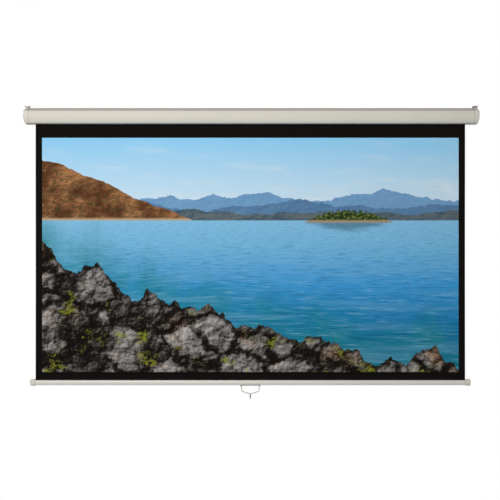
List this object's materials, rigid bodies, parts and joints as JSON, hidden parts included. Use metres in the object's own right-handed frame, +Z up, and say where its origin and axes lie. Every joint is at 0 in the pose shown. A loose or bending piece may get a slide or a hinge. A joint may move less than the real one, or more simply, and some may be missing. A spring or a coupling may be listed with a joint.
{
  "type": "pull-down projector screen",
  "caption": "Pull-down projector screen: long metal casing with end caps and hangers, spring roller, black-bordered screen, weight bar and wire pull.",
  "frame": {"origin": "on the wall plane, at the middle of the casing in length and height", "axes": "+X along the casing to the right of someone who faces the screen, +Y into the wall, so the screen faces -Y, +Z up"},
  "size_m": [2.026, 0.0674, 1.3086],
  "materials": {
    "casing_paint": "satin warm white powder coat on sheet steel",
    "bar_paint": "satin off-white paint on a steel tube",
    "cap_plastic": "fine grained warm white moulding",
    "zinc": "zinc plated steel",
    "screws": "bright zinc plated steel",
    "pull_wire": "nickel plated wire",
    "spring_steel": "dark oiled spring wire",
    "nylon": "natural moulded nylon",
    "cloth": "matt white coated screen cloth with a black mask"
  },
  "bodies": {
    "fixed": {"casing": "casing_paint", "right_end_cap": "cap_plastic", "left_end_cap": "cap_plastic", "right_hanger": "zinc", "left_hanger": "zinc", "right_hanger_screw_top": "screws", "right_hanger_screw_low": "screws", "left_hanger_screw_top": "screws", "left_hanger_screw_low": "screws", "right_cap_screw": "screws", "left_cap_screw": "screws", "idle_bush": "nylon", "spindle": "zinc", "ratchet_wheel": "zinc", "spring_anchor": "zinc", "torsion_spring": "spring_steel", "screen_cloth": "cloth"},
    "roller": {"roller_tube": "zinc", "cloth_wraps": "cloth", "idle_plug": "nylon", "drive_plug": "nylon", "spindle_bearing": "nylon", "pawl_pin_1": "screws", "pawl_pin_2": "screws"},
    "pawl_a": {"pawl_1": "zinc"},
    "pawl_b": {"pawl_2": "zinc"},
    "bar": {"weight_bar": "bar_paint", "hem_rod": "zinc", "right_bar_cap": "cap_plastic", "left_bar_cap": "cap_plastic", "handle_bracket": "zinc", "right_bracket_screw": "screws", "left_bracket_screw": "screws"},
    "pull": {"pull_wire": "pull_wire"}
  },
  "joints": [
    {"name": "bar_slide", "type": "slide", "parent": "fixed", "child": "bar", "axis": [0, 0, 1], "range_m": [0, 1.1367], "deforming": ["screen_cloth"]},
    {"name": "roller_spin", "type": "hinge", "parent": "fixed", "child": "roller", "pos_m": [-0.0045, -0.038, -0.003], "axis": [1, 0, 0], "range_deg": [0, 3060.5], "deforming": ["torsion_spring"]},
    {"name": "pawl_1_swing", "type": "hinge", "parent": "roller", "child": "pawl_a", "pos_m": [0.968, -0.0292, 0.00827], "axis": [1, 0, 0], "range_deg": [0, 22]},
    {"name": "pawl_2_swing", "type": "hinge", "parent": "roller", "child": "pawl_b", "pos_m": [0.968, -0.0468, -0.01427], "axis": [1, 0, 0], "range_deg": [0, 22]},
    {"name": "pull_swing", "type": "hinge", "parent": "bar", "child": "pull", "pos_m": [-0.0045, -0.01785, -1.2044], "axis": [1, 0, 0], "range_deg": [-90, 90]}
  ],
  "couplings": [
    {"joint": "roller_spin", "follows": "bar_slide", "rad_per_m": 46.984}
  ]
}
